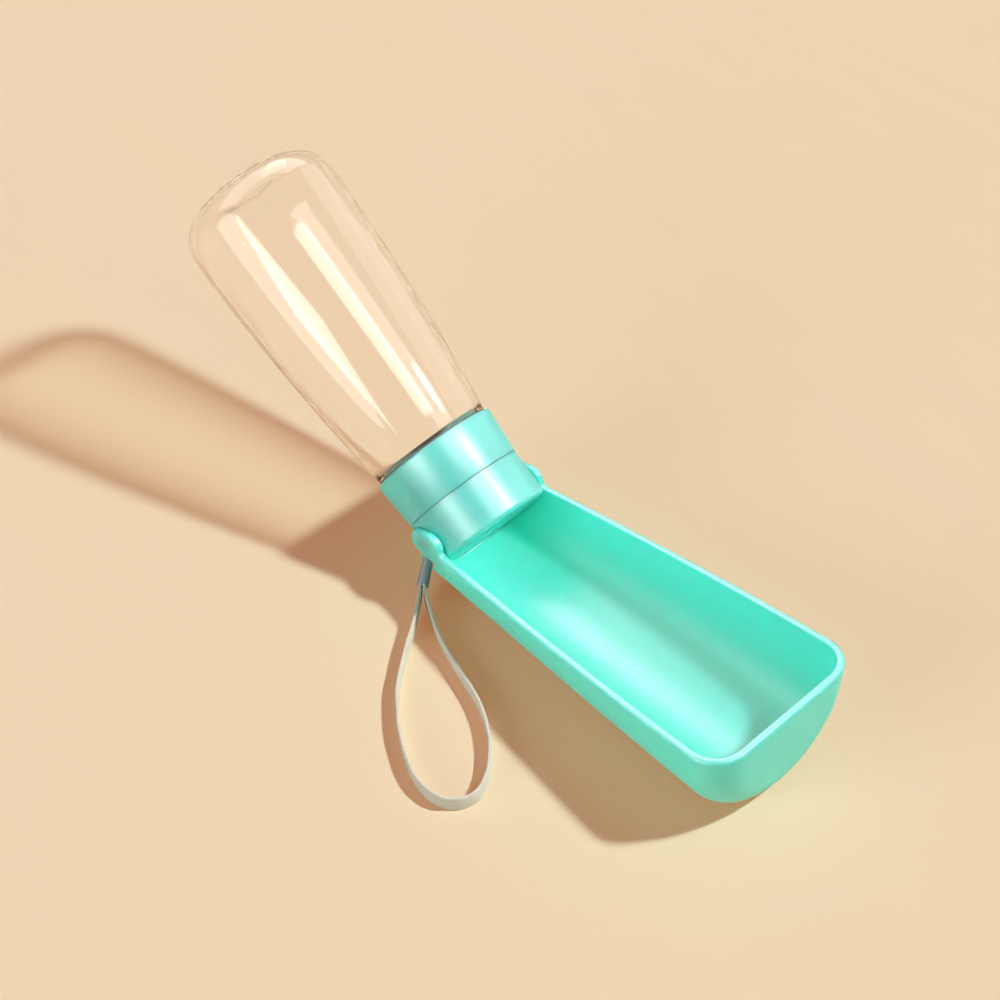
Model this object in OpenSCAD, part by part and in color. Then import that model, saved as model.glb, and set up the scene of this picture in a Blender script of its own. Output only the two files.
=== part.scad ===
// Dog travel water bottle: a clear bottle screwed into a dispensing head, with a fold-out drinking tray
// hinged to the head. The tray stands on the floor along +X and the bottle leans up toward -X.
// +Z is up and the origin is the centre of the footprint, on the floor.

/* [Bottle] */
// Length of the clear body, from the neck gasket to the foot of the bottle
bottle_len = 130.6; // [110:0.2:150]
// Step from the bottle's neck out to its shoulder, where it meets the gasket
shoulder_step = 1.4; // [1.2:0.05:1.9]
// Radius halfway along the clear body
belly_r = 32.1; // [30:0.1:32.6]
// Radius of the clear body at its foot
foot_r = 34.1; // [32.5:0.1:36]
// Rounding between the side and the foot
foot_round = 14; // [8:0.5:18]
// Thickness of the clear wall
bottle_wall = 1.4; // [1:0.1:2]
// Depth that the foot is pushed in at its centre
foot_dome = 3; // [1:0.5:5]
// Angle of the bottle above the floor
bottle_tilt = 32.8; // [28:0.2:40]

/* [Collar] */
// Length of the collar that the bottle screws into
collar_len = 20.5; // [18:0.5:24]
// Outer radius of the collar at the bottle
collar_top_r = 27.4; // [27:0.1:28.5]
// Outer radius of the collar at the seam with the head
collar_low_r = 26; // [25.8:0.1:26.6]
// Thickness of the collar's wall at the bottle
collar_wall = 2.65; // [2.4:0.05:3]
// Thickness of the gasket that shows between collar and bottle
gasket_t = 1.1; // [0.8:0.1:2]

/* [Head] */
// Outer radius of the dispensing head
head_r = 25.8; // [25.6:0.1:26]
// Length of the head from the hinge axis to the seam
head_above = 8.5; // [8.3:0.1:9.5]
// Length of the head from the hinge axis to its end face
head_below = 11.5; // [11:0.25:13]
// Rounding of the edge of the end face
edge_r = 2; // [1:0.25:2.2]
// Thickness of the head's wall
head_wall = 2.2; // [2:0.1:2.6]
// Width of the hairline at the seam
seam_gap = 0.2; // [0.1:0.05:0.4]

/* [Hinge] */
// Radius of the two ears of the tray
ear_r = 6.6; // [6:0.1:7.5]
// Thickness of each ear
ear_t = 3; // [2.6:0.1:3.6]
// Radius of the hinge pins
pin_r = 2.4; // [2:0.1:2.8]
// Gap between an ear and the side of the head
ear_gap = 0.3; // [0.2:0.05:0.5]
// Radial clearance of the pins in the ears
pin_fit = 0.05; // [0.02:0.01:0.1]

/* [Tray] */
// Thickness of the tray's wall away from the hinge
tray_wall = 2.2; // [1.8:0.1:2.8]
// Thickness of the tray's floor
floor_t = 2.2; // [1.8:0.1:3]
// Width of the rim's top face
rim_w = 3; // [2.6:0.1:3.6]
// Slope of the rim up to the far end
rim_rise = 5.6; // [3:0.2:8]
// Height of the hinge axis over the rim at the hinge
rim_drop = 1.6; // [0:0.2:3]
// How early the tray reaches its full width: 1 is a straight side
side_belly = 1.55; // [1.4:0.05:1.8]
// Outer rounding of the far wall
far_round = 14.5; // [10:0.5:18]
// Depth of the flat that the tray stands on
stand_drop = 1.2; // [0.6:0.1:1.6]
// Room between the folded tray and the side of the bottle's foot
side_gap = 1.3; // [0.8:0.1:2]
// Room between the folded tray and the end of the bottle
end_gap = 1.2; // [0.8:0.1:3]

/* [Valve] */
// Radius of the bore that the valve stem slides in
valve_r = 4.2; // [4:0.05:4.4]
// Radius of the water ports through that bore
port_r = 1.4; // [1:0.1:1.5]
// Travel of the thumb button
button_travel = 3; // [2.9:0.1:3.1]
// Radius of the button's cap
button_r = 7; // [6.5:0.1:7.2]
// Travel of the lock slider
lock_travel = 3.6; // [3:0.1:3.7]

/* [Filter] */
// Outer radius of the filter basket
filter_r = 14; // [13:0.25:16]
// Length of the filter basket
filter_len = 12; // [10:0.5:14]
// Number of windows in the basket's wall
filter_windows = 6; // [4:1:8]

/* [Strap] */
// Width of the webbing
strap_w = 7; // [6:0.5:8]
// Thickness of the webbing
strap_t = 1.2; // [1:0.1:1.6]
// Radius of the ferrule at its lower end
ferrule_r = 2.5; // [2.3:0.1:2.7]

/* [Hidden] */
$fn = 96;
MINT = [0.5, 0.91, 0.82];
CLEAR = [0.86, 0.9, 0.92, 0.35];
DARK_GREY = [0.3, 0.33, 0.33];
WHITE = [0.93, 0.94, 0.93];
LILAC_GREY = [0.62, 0.61, 0.67];
WEBBING = [0.84, 0.79, 0.72];
STEEL = [0.75, 0.76, 0.78];

// Clearances and small sizes that several pieces share
EPS = 0.01;
slide_gap = 0.2;
swing_gap = 0.4;
floor_gap = 0.9;
press = 0.05;
bore_fit = 0.05;

// Stations along the bottle's axis, counted from the hinge axis
seam_z = head_above;
collar_end_z = seam_z + collar_len;
body_z = collar_end_z + gasket_t;
foot_z = body_z + bottle_len;
neck_gap = 0.35;
collar_bore_r = collar_top_r - collar_wall;
neck_r = collar_bore_r - neck_gap;
shoulder_r = neck_r + shoulder_step;
spigot_len = 1.9;
flange_t = 1.5;
flange_z = seam_z + seam_gap + spigot_len;
seal_t = 1.2;
neck_end_z = flange_z + flange_t + seal_t + press;

// The head's inside and the ball that its end sweeps as the tray folds
cavity_r = head_r - head_wall;
spigot_r = cavity_r + 0.4;
end_plate_t = 2;
pin_inner_y = 17.5;
pin_cover = 0.9;
boss_wall = 2.2;
corner_r = norm([head_below - edge_r, head_r - edge_r]) + edge_r;
scoop_r = corner_r + swing_gap;

// The tray, in its own frame: x from the hinge axis, z from the floor
hinge_h = floor_t + floor_gap + scoop_r;
near_w = head_r + ear_gap;
far_w = foot_r + side_gap;
tray_len = foot_z + end_gap;
tray_end = tray_len + rim_w;
near_x = -14;
wide_x = 8;
thin_x = 48;
inner_draft = 0.3;
arc_steps = 36;
side_steps = 14;
round_steps = 8;
trim_z = -head_below + 1.5;
blend_r = 4;
ear_foot_x = 18;
ear_blend_x = 12;
fold_reserve = 2.5;

// The footprint: the origin is midway between the bottle's foot and the tray's far wall
foot_arc_r = foot_r - foot_round;
bottle_min_x = -(foot_z - foot_round) * cos(bottle_tilt) - foot_arc_r * sin(bottle_tilt) - foot_round;
hinge_x = -(tray_end + bottle_min_x) / 2;

// The valve and button, measured outward from the bottle's axis toward the back of the head
barrel_r = valve_r + 2;
barrel_back = 14.6;
barrel_front = -12.5;
bore_front = -10;
stem_r = valve_r - bore_fit;
rod_r = 2;
waist_r = 2.4;
stem_front = -5;
waist_from = port_r + 0.2;
waist_to = waist_from + button_travel + 0.2;
land_to = 10;
stop_r = 5.4;
stop_t = 1.2;
stop_z = cavity_r - 0.7 - stop_t;
ring_wire = 0.75;
ring_r = stem_r - ring_wire + 0.02;
groove_w = 1.7;
front_ring_z = -3.4;
back_ring_z = 7.6;
sleeve_depth = 0.95;
sleeve_from = -1.9;
pad_top = head_r + 0.4;
pad_r = 8;
pad_far_y = 12;
cap_under = pad_top + button_travel + slide_gap;
cap_t = 1.6;
neck_button_r = 4.4;
cap_top = cap_under + cap_t;
stem_back = cap_under - 1;

// The bulkhead that carries the valve
plate_bottom = 5.6;
plate_top = 8.2;
inlet_r = 8;
inlet_bore_r = 3;
inlet_top = 16;
nozzle_r = 3.6;
nozzle_top = -5.2;
nozzle_flange_r = 5.5;
nozzle_sunk = 0.3;

// The filter cartridge, on the bulkhead's inlet tube
socket_t = 2;
basket_z = inlet_top - socket_t;
basket_wall = 1.4;
filter_cap_t = 2;
core_gap = 0.2;

// The lock slider beside the button
lock_gap = 0.2;
lock_t = cap_under - pad_top - lock_gap - 0.3;
lock_y = button_r + 0.3;
lock_len = 10;
lock_half_w = 5.5;
lock_foot = [3.6, 3.6];
lock_foot_y = 11;
clip_z = 17.8;
clip_t = 1.4;
clip_size = [6, 6];

// The strap: its anchor on the head, and its route on the floor from the hinge axis
ferrule_top = [-4.5, -22.9, 14.1];
ferrule_end = [0.5, -31.1, 7.5];
anchor_r = 1.3;
anchor_in = 6;
anchor_out = 5;
boss_r = 3;
leg_gap = 0.8;
// Centre of the webbing along the loop, from the ferrule out and back to it
STRAP = [[2.2, -33.9, 6.5], [6, -38.4, 5.5], [12, -46, 4.5], [19, -56, 4], [25.5, -64.5, 3.6],
    [32, -72, 3.6], [39.5, -78.5, 3.6], [47.5, -84.5, 3.6], [57, -90, 3.6], [66, -94, 3.6],
    [74, -95.6, 3.6], [80.5, -95, 3.6], [85.5, -92.4, 3.6], [88.6, -88, 3.6], [89.2, -82.4, 3.6],
    [86.4, -75.8, 3.6], [81.4, -69.4, 3.6], [75, -63.4, 3.6], [66.4, -57.6, 3.6], [56.6, -53, 3.6],
    [46, -49.8, 3.6], [35, -46.6, 3.6], [24.6, -43, 4], [15, -38.6, 4.8], [8.4, -35.2, 5.8], [4.4, -33, 6.6]];

// --- Placing ---

// Bottle frame: z along the bottle's axis from the hinge axis, x to the front of the head
module at_head() {
    translate([hinge_x, 0, hinge_h]) rotate([0, bottle_tilt - 90, 0]) children();
}

// Valve frame: z outward to the back of the head, x along the bottle's axis
module at_valve() {
    at_head() rotate([0, -90, 0]) children();
}

// Tray frame: x from the hinge axis, z from the floor
module at_tray() {
    translate([hinge_x, 0, 0]) children();
}

// A round bar from point a to point b, with the radius at each
module bar(a, b, r1, r2) {
    way = b - a;
    turn = atan2(way[1], way[0]);
    lean = acos(way[2] / norm(way));
    translate(a) rotate([0, lean, turn]) cylinder(h = norm(way), r1 = r1, r2 = r2);
}

// --- Swept forms ---

// Faces of a closed skin over rings of points, each ring with the same count
function skin_faces(rings, count) = concat(
    [[for (j = [0:count - 1]) j]],
    [for (i = [0:rings - 2], j = [0:count - 1]) let (k = (j + 1) % count)
        [i * count + j, (i + 1) * count + j, i * count + k]],
    [for (i = [0:rings - 2], j = [0:count - 1]) let (k = (j + 1) % count)
        [i * count + k, (i + 1) * count + j, (i + 1) * count + k]],
    [[for (j = [count - 1:-1:0]) (rings - 1) * count + j]]);

// --- Bottle ---

// Outer radius of the clear body at station z
function body_r(z) = let (u = (z - body_z) / bottle_len)
    shoulder_r * (1 - u) * (1 - 2 * u) + 4 * belly_r * u * (1 - u) + foot_r * u * (2 * u - 1);

// Outline of the clear body from shoulder to axis, moved in by the wall
function body_side(wall) = let (stop = foot_z - foot_round, start = body_z + wall)
    [for (i = [0:20]) let (z = start + (stop - start) * i / 20) [body_r(z) - wall, z]];
function body_foot(wall) = let (r = foot_round - wall, c = body_r(foot_z - foot_round) - foot_round)
    [for (i = [1:8]) [c + r * cos(90 * i / 8), foot_z - foot_round + r * sin(90 * i / 8)]];
function body_dome(wall) = let (rim = body_r(foot_z - foot_round) - foot_round - 2)
    [for (i = [0:6]) [rim * cos(90 * i / 6), foot_z - wall - foot_dome * sin(90 * i / 6)]];

module bottle() {
    outer = concat([[neck_r, neck_end_z], [neck_r, body_z]], body_side(0), body_foot(0), body_dome(0));
    inner = concat([[neck_r - bottle_wall, neck_end_z - EPS], [neck_r - bottle_wall, body_z]],
        body_side(bottle_wall), body_foot(bottle_wall), body_dome(bottle_wall), [[0, neck_end_z - EPS]]);
    color(CLEAR) at_head() rotate_extrude() difference() {
        polygon(concat(outer, [[0, neck_end_z]]));
        polygon(inner);
    }
}

module neck_gasket() {
    color(DARK_GREY) at_head() translate([0, 0, collar_end_z]) difference() {
        cylinder(h = gasket_t, r = shoulder_r + 0.5);
        translate([0, 0, -1]) cylinder(h = gasket_t + 2, r = neck_r + press);
    }
}

// --- Head ---

module collar() {
    chamfer = 0.5;
    low_z = seam_z + seam_gap;
    color(MINT) at_head() rotate_extrude() polygon([
        [collar_low_r, low_z],
        [collar_top_r, collar_end_z - chamfer],
        [collar_top_r - chamfer, collar_end_z],
        [collar_bore_r, collar_end_z],
        [collar_bore_r, flange_z + flange_t],
        [filter_r + 4, flange_z + flange_t],
        [filter_r + 4, flange_z],
        [spigot_r + press, flange_z],
        [spigot_r + press, low_z]]);
}

module mouth_seal() {
    color(WHITE) at_head() translate([0, 0, flange_z + flange_t]) difference() {
        cylinder(h = seal_t, r = neck_r);
        translate([0, 0, -1]) cylinder(h = seal_t + 2, r = neck_r - 4);
    }
}

module head_outer() {
    rotate_extrude() union() {
        translate([0, -head_below]) square([head_r - edge_r, head_below + seam_z]);
        translate([0, edge_r - head_below]) square([head_r, head_below + seam_z - edge_r]);
        translate([head_r - edge_r, edge_r - head_below]) circle(edge_r);
        square([spigot_r, seam_z + spigot_len]);
    }
}

module head_cavity() {
    translate([0, 0, end_plate_t - head_below]) cylinder(h = head_below + seam_z - end_plate_t, r = cavity_r);
    cylinder(h = seam_z + spigot_len + 1, r = spigot_r - 2);
}

// Raised pad on the back that the button and the lock slider sit on
module button_pad() {
    rotate([0, -90, 0]) {
        cylinder(h = pad_top, r = pad_r);
        translate([0, pad_far_y, 0]) cylinder(h = pad_top, r = pad_r);
        translate([-pad_r, 0, 0]) cube([2 * pad_r, pad_far_y, pad_top]);
    }
}

// Cuts through the pad: the button's hole, the slot of the lock slider and the pocket of its clip
module pad_cuts() {
    slot_y = lock_foot_y - lock_travel - slide_gap;
    slot_len = lock_foot[1] + lock_travel + 2 * slide_gap;
    clip_y = lock_foot_y - 1.2;
    rotate([0, -90, 0]) {
        translate([0, 0, stop_z]) cylinder(h = pad_top, r = neck_button_r + 0.3);
        translate([-lock_foot[0] / 2 - slide_gap, slot_y, clip_z])
            cube([lock_foot[0] + 2 * slide_gap, slot_len, pad_top]);
        translate([-clip_size[0] / 2 - slide_gap, clip_y - lock_travel - slide_gap, clip_z - 8])
            cube([clip_size[0] + 2 * slide_gap, clip_size[1] + lock_travel + 2 * slide_gap, clip_t + 8 + slide_gap]);
    }
}

module hinge_bosses() {
    for (side = [-1, 1]) rotate([-90 * side, 0, 0]) translate([0, 0, pin_inner_y - press])
        cylinder(h = cavity_r - pin_inner_y + 0.5, r = pin_r + boss_wall);
}

module hinge_bores() {
    for (side = [-1, 1]) rotate([-90 * side, 0, 0]) translate([0, 0, pin_inner_y - 1])
        cylinder(h = near_w - pin_inner_y + 1, r = pin_r + press);
}

// Way that the ferrule points
function ferrule_way() = (ferrule_end - ferrule_top) / norm(ferrule_end - ferrule_top);

module head_shell() {
    color(MINT) difference() {
        union() {
            at_head() difference() {
                union() {
                    head_outer();
                    button_pad();
                }
                head_cavity();
            }
            at_head() hinge_bosses();
            at_tray() bar(ferrule_top - 5 * ferrule_way(), ferrule_top, boss_r + 0.6, boss_r);
        }
        at_head() hinge_bores();
        at_head() pad_cuts();
        at_head() translate([0, 0, -head_below - 1]) cylinder(h = end_plate_t + 2, r = nozzle_r + press);
        at_tray() bar(ferrule_top - anchor_in * ferrule_way(), ferrule_top + ferrule_way(), anchor_r, anchor_r);
    }
}

module hinge_pin(side) {
    color(STEEL) at_head() rotate([-90 * side, 0, 0]) translate([0, 0, pin_inner_y])
        cylinder(h = near_w + ear_t - pin_cover - pin_inner_y, r = pin_r);
}

module valve_block() {
    color(WHITE) at_head() difference() {
        union() {
            translate([0, 0, plate_bottom]) cylinder(h = plate_top - plate_bottom, r = cavity_r - press);
            cylinder(h = inlet_top, r = inlet_r);
            rotate([0, -90, 0]) translate([0, 0, barrel_front])
                cylinder(h = barrel_back - barrel_front, r = barrel_r);
        }
        rotate([0, -90, 0]) translate([0, 0, bore_front])
            cylinder(h = barrel_back - bore_front + 1, r = valve_r);
        translate([0, 0, plate_bottom]) cylinder(h = inlet_top, r = inlet_bore_r);
        translate([0, 0, -barrel_r - 1]) cylinder(h = barrel_r + plate_bottom + 2, r = port_r);
        translate([0, 0, -barrel_r - 1]) cylinder(h = nozzle_top + barrel_r + 1, r = nozzle_r + press);
    }
}

module outlet_nozzle() {
    color(WHITE) at_head() difference() {
        union() {
            translate([0, 0, nozzle_sunk - head_below])
                cylinder(h = head_below - nozzle_sunk + nozzle_top - press, r = nozzle_r);
            translate([0, 0, end_plate_t - head_below + press]) cylinder(h = 1.2, r = nozzle_flange_r);
        }
        translate([0, 0, -head_below - 3]) cylinder(h = head_below + 3, r = port_r + 0.4);
    }
}

// --- Button and valve stem ---

module button_cap() {
    soft = 0.6;
    color(MINT) at_valve() difference() {
        union() {
            translate([0, 0, cap_under]) cylinder(h = cap_t - soft, r = button_r);
            translate([0, 0, cap_top - soft]) cylinder(h = soft, r1 = button_r, r2 = button_r - soft);
            translate([0, 0, stop_z + stop_t + press])
                cylinder(h = cap_under - stop_z - stop_t, r = neck_button_r);
        }
        translate([0, 0, stop_z]) cylinder(h = stem_back - stop_z + press, r = rod_r);
    }
}

module valve_stem() {
    color(WHITE) at_valve() difference() {
        union() {
            translate([0, 0, stem_front]) cylinder(h = waist_from - stem_front, r = stem_r);
            cylinder(h = land_to, r = waist_r);
            translate([0, 0, waist_to]) cylinder(h = land_to - waist_to, r = stem_r);
            cylinder(h = stem_back, r = rod_r);
            translate([0, 0, stop_z]) cylinder(h = stop_t, r = stop_r);
        }
        for (z = [front_ring_z, back_ring_z]) translate([0, 0, z - groove_w / 2]) difference() {
            cylinder(h = groove_w, r = valve_r);
            translate([0, 0, -1]) cylinder(h = groove_w + 2, r = ring_r - ring_wire - 0.02);
        }
        translate([0, 0, sleeve_from]) difference() {
            cylinder(h = waist_from - sleeve_from + EPS, r = valve_r);
            translate([0, 0, -1]) cylinder(h = waist_from - sleeve_from + 2, r = stem_r - sleeve_depth);
        }
    }
}

module valve_sleeve() {
    color(DARK_GREY) at_valve() translate([0, 0, sleeve_from + press]) difference() {
        cylinder(h = waist_from - sleeve_from - press, r = stem_r + 0.02);
        translate([0, 0, -1]) cylinder(h = waist_from - sleeve_from + 2, r = stem_r - sleeve_depth);
    }
}

module stem_ring(z) {
    color(DARK_GREY) at_valve() translate([0, 0, z]) rotate_extrude() translate([ring_r, 0])
        circle(ring_wire, $fn = 24);
}

// Coil spring between the valve's barrel and the stop on the stem
module return_spring() {
    turns = 4.5;
    steps = 16;
    sides = 6;
    wire_r = 0.35;
    coil_r = 4.4;
    rise = stop_z - barrel_back - 2 * wire_r - 2 * press;
    count = turns * steps;
    rings = [for (i = [0:count]) for (k = [0:sides - 1]) let (t = 360 * i / steps, p = 360 * k / sides)
        [(coil_r + wire_r * cos(p)) * cos(t), (coil_r + wire_r * cos(p)) * sin(t),
            barrel_back + wire_r + press + rise * i / count + wire_r * sin(p)]];
    color(STEEL) at_valve() polyhedron(rings, skin_faces(count + 1, sides));
}

// --- Lock ---

module lock_slider() {
    corner = 2;
    color(MINT) at_valve() {
        difference() {
            translate([0, lock_y, pad_top + lock_gap]) linear_extrude(lock_t) union() {
                translate([-lock_half_w, 0]) square([2 * lock_half_w, lock_len - corner]);
                translate([corner - lock_half_w, 0]) square([2 * (lock_half_w - corner), lock_len]);
                for (side = [-1, 1]) translate([side * (lock_half_w - corner), lock_len - corner])
                    circle(corner);
            }
            translate([0, lock_travel, pad_top]) cylinder(h = lock_gap + lock_t + 1, r = neck_button_r + 0.5);
        }
        for (rib = [4.6, 6.4, 8.2]) translate([-3.5, lock_y + rib, pad_top + lock_gap + lock_t - 0.2])
            cube([7, 0.8, 0.7]);
        translate([-lock_foot[0] / 2, lock_foot_y, clip_z + clip_t])
            cube([lock_foot[0], lock_foot[1], pad_top + lock_gap + 1 - clip_z - clip_t]);
    }
}

module lock_clip() {
    color(WHITE) at_valve() translate([-clip_size[0] / 2, lock_foot_y - 1.2, clip_z])
        cube([clip_size[0], clip_size[1], clip_t]);
}

// --- Filter ---

module filter_basket() {
    window_w = 8;
    window_z = inlet_top + 2;
    window_h = filter_len - socket_t - 4;
    color(WHITE) at_head() difference() {
        translate([0, 0, basket_z]) cylinder(h = filter_len, r = filter_r);
        translate([0, 0, inlet_top]) cylinder(h = filter_len, r = filter_r - basket_wall);
        translate([0, 0, basket_z - 1]) cylinder(h = socket_t + 2, r = inlet_r + bore_fit);
        for (i = [0:filter_windows - 1]) rotate([0, 0, 360 * i / filter_windows])
            translate([filter_r - 4, -window_w / 2, window_z]) cube([8, window_w, window_h]);
    }
}

module filter_core() {
    color(DARK_GREY) at_head() translate([0, 0, inlet_top + core_gap])
        cylinder(h = filter_len - socket_t - 2 - core_gap, r = filter_r - basket_wall - core_gap);
}

module filter_cap() {
    spigot = 1.6;
    color(WHITE) at_head() translate([0, 0, basket_z + filter_len]) difference() {
        union() {
            cylinder(h = filter_cap_t, r = filter_r);
            translate([0, 0, -spigot]) cylinder(h = spigot, r = filter_r - basket_wall - press);
        }
        translate([0, 0, -spigot - 1]) cylinder(h = filter_cap_t + spigot + 2, r = 1.6);
        for (i = [0:5]) rotate([0, 0, 60 * i]) translate([filter_r * 0.55, 0, -spigot - 1])
            cylinder(h = filter_cap_t + spigot + 2, r = 1.6);
    }
}

// --- Strap ---

module strap_anchor() {
    color(STEEL) at_tray() bar(ferrule_top - (anchor_in - 0.5) * ferrule_way(), ferrule_top + anchor_out * ferrule_way(),
        anchor_r, anchor_r);
}

module ferrule() {
    color(LILAC_GREY) at_tray() difference() {
        bar(ferrule_top + press * ferrule_way(), ferrule_end, ferrule_r - 0.3, ferrule_r);
        bar(ferrule_top - ferrule_way(), ferrule_top + (anchor_out + 0.2) * ferrule_way(), anchor_r + 0.02, anchor_r + 0.02);
    }
}

// Direction of travel at point i of a route
function way_at(route, i) = let (a = route[max(i - 1, 0)], b = route[min(i + 1, len(route) - 1)])
    (b - a) / norm(b - a);
// One flat ring of webbing, standing on edge across the direction of travel
function webbing_ring(p, way) = let (
    side = cross(way, [0, 0, 1]) / norm(cross(way, [0, 0, 1])),
    up = cross(side, way))
    [for (q = [[0.5, -0.42], [0.5, 0.42], [0.3, 0.5], [-0.3, 0.5], [-0.5, 0.42], [-0.5, -0.42], [-0.3, -0.5], [0.3, -0.5]])
        p + side * q[0] * strap_t + up * q[1] * strap_w];

module strap_loop() {
    side = cross(ferrule_way(), [0, 0, 1]) / norm(cross(ferrule_way(), [0, 0, 1]));
    leave = ferrule_end + ferrule_way() * press;
    route = concat([leave + side * leg_gap], STRAP, [leave - side * leg_gap]);
    last = len(route) - 1;
    points = [for (i = [0:last]) each webbing_ring(route[i],
        i == 0 ? ferrule_way() : i == last ? -ferrule_way() : way_at(route, i))];
    color(WEBBING) at_tray() polyhedron(points, skin_faces(len(route), 8));
}

// --- Tray ---

function lerp(a, b, t) = a + (b - a) * t;
function clamp(t) = min(max(t, 0), 1);
// Inner half width of the tray at the rim
function half_w(x) = let (u = clamp((x - wide_x) / (tray_len - wide_x)))
    near_w + (far_w - near_w) * (1 - pow(1 - u, side_belly));
// Wall thickness, as thick as the rim near the hinge
function wall_at(x) = lerp(rim_w, tray_wall, clamp((x - ear_foot_x) / (thin_x - ear_foot_x)));
function rim_z(x) = hinge_h - rim_drop + x * tan(rim_rise);

// Stations of a wall: along the side, then round the far end by the radius
function stations(end, round_r) = concat(
    [for (i = [0:side_steps]) [lerp(near_x, end - round_r, i / side_steps), 0]],
    [for (i = [1:round_steps]) let (t = 90 * i / round_steps)
        [end - round_r * (1 - sin(t)), round_r * (1 - cos(t))]]);

// A U-shaped section: rim, straight wall, round bottom no lower than low, straight wall, rim
function u_section(x, rim_half, round_r, bottom, low) = concat(
    [[x, rim_half, rim_z(x)]],
    [for (i = [0:arc_steps]) let (t = 180 * i / arc_steps)
        [x, round_r * cos(t), max(low, bottom + round_r - round_r * sin(t))]],
    [[x, -rim_half, rim_z(x)]]);

module tray_shell() {
    count = arc_steps + 3;
    outer_st = stations(tray_end, far_round);
    inner_st = stations(tray_len, far_round - rim_w);
    rows = len(outer_st);
    outer = [for (s = outer_st) each u_section(s[0], half_w(s[0]) + rim_w - s[1], half_w(s[0]) + wall_at(s[0]) - s[1],
        s[1] - stand_drop, 0)];
    inner = [for (s = inner_st) each u_section(s[0], half_w(s[0]) - s[1], half_w(s[0]) - inner_draft - s[1],
        s[1] + floor_t, 0)];
    base = rows * count;
    last = count - 1;
    top = (rows - 1) * count;
    side_a = [for (i = [0:rows - 2], j = [0:last - 1]) each [
        [i * count + j, (i + 1) * count + j, i * count + j + 1],
        [i * count + j + 1, (i + 1) * count + j, (i + 1) * count + j + 1]]];
    side_b = [for (f = side_a) [base + f[2], base + f[1], base + f[0]]];
    near = [for (j = [0:last - 1]) each [[j, j + 1, base + j], [j + 1, base + j + 1, base + j]]];
    rim_a = [for (i = [0:rows - 2]) each [
        [i * count, base + i * count, (i + 1) * count],
        [(i + 1) * count, base + i * count, base + (i + 1) * count]]];
    rim_b = [for (i = [0:rows - 2]) each [
        [i * count + last, (i + 1) * count + last, base + i * count + last],
        [(i + 1) * count + last, base + (i + 1) * count + last, base + i * count + last]]];
    caps = [[for (j = [0:last]) top + j], [for (j = [last:-1:0]) base + top + j],
        [top, base + top, base + top + last, top + last]];
    polyhedron(concat(outer, inner), concat(side_a, side_b, near, rim_a, rim_b, caps));
}

// Side view of an ear: a round lobe on the hinge axis, swept into the rim
module ear_profile() {
    blend_z = rim_z(ear_blend_x) - hinge_h + blend_r;
    blend_x = sqrt(pow(ear_r + blend_r, 2) - pow(blend_z, 2));
    difference() {
        union() {
            circle(ear_r);
            polygon([[0, -ear_r], [ear_foot_x, -ear_r], [ear_foot_x, rim_z(ear_foot_x) - hinge_h],
                [blend_x, rim_z(blend_x) - hinge_h],
                [ear_r * blend_x / (ear_r + blend_r), ear_r * blend_z / (ear_r + blend_r)]]);
        }
        translate([blend_x, blend_z]) circle(blend_r);
    }
}

// Space that the collar takes up once the tray is folded over the bottle
module collar_room() {
    translate([0, 0, hinge_h]) rotate([0, 90 - fold_reserve, 0]) translate([0, 0, seam_z])
        cylinder(h = collar_len, r1 = collar_low_r + swing_gap, r2 = collar_top_r + swing_gap);
}

module tray() {
    color(MINT) at_tray() difference() {
        union() {
            difference() {
                tray_shell();
                translate([0, 0, hinge_h]) rotate([0, bottle_tilt - 90, 0]) translate([-200, -100, trim_z])
                    cube([400, 200, 200]);
            }
            for (side = [-1, 1]) translate([0, side > 0 ? near_w + ear_t : -near_w, hinge_h])
                rotate([90, 0, 0]) linear_extrude(ear_t) ear_profile();
        }
        intersection() {
            translate([0, 0, hinge_h]) sphere(scoop_r, $fn = 120);
            translate([-60, -near_w, 0]) cube([120, 2 * near_w, 100]);
        }
        collar_room();
        for (side = [-1, 1]) translate([0, 0, hinge_h]) rotate([-90 * side, 0, 0])
            translate([0, 0, near_w - 1]) cylinder(h = ear_t - pin_cover + 1.2, r = pin_r + pin_fit);
    }
}

head_shell();
collar();
mouth_seal();
valve_block();
outlet_nozzle();
hinge_pin(-1);  // hinge_pin_left
hinge_pin(1);  // hinge_pin_right
strap_anchor();
ferrule();
strap_loop();
bottle();
neck_gasket();
filter_basket();
filter_core();
filter_cap();
button_cap();
valve_stem();
valve_sleeve();
stem_ring(front_ring_z);  // stem_ring_front
stem_ring(back_ring_z);  // stem_ring_back
return_spring();
lock_slider();
lock_clip();
tray();
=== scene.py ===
"""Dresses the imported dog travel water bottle: finishes, fine forms, strap, floor, light and camera."""

import logging
import math
from dataclasses import dataclass
from enum import Enum
from typing import Iterable, Optional, Sequence

import bmesh
import bpy
from mathutils import Matrix, Vector

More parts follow.
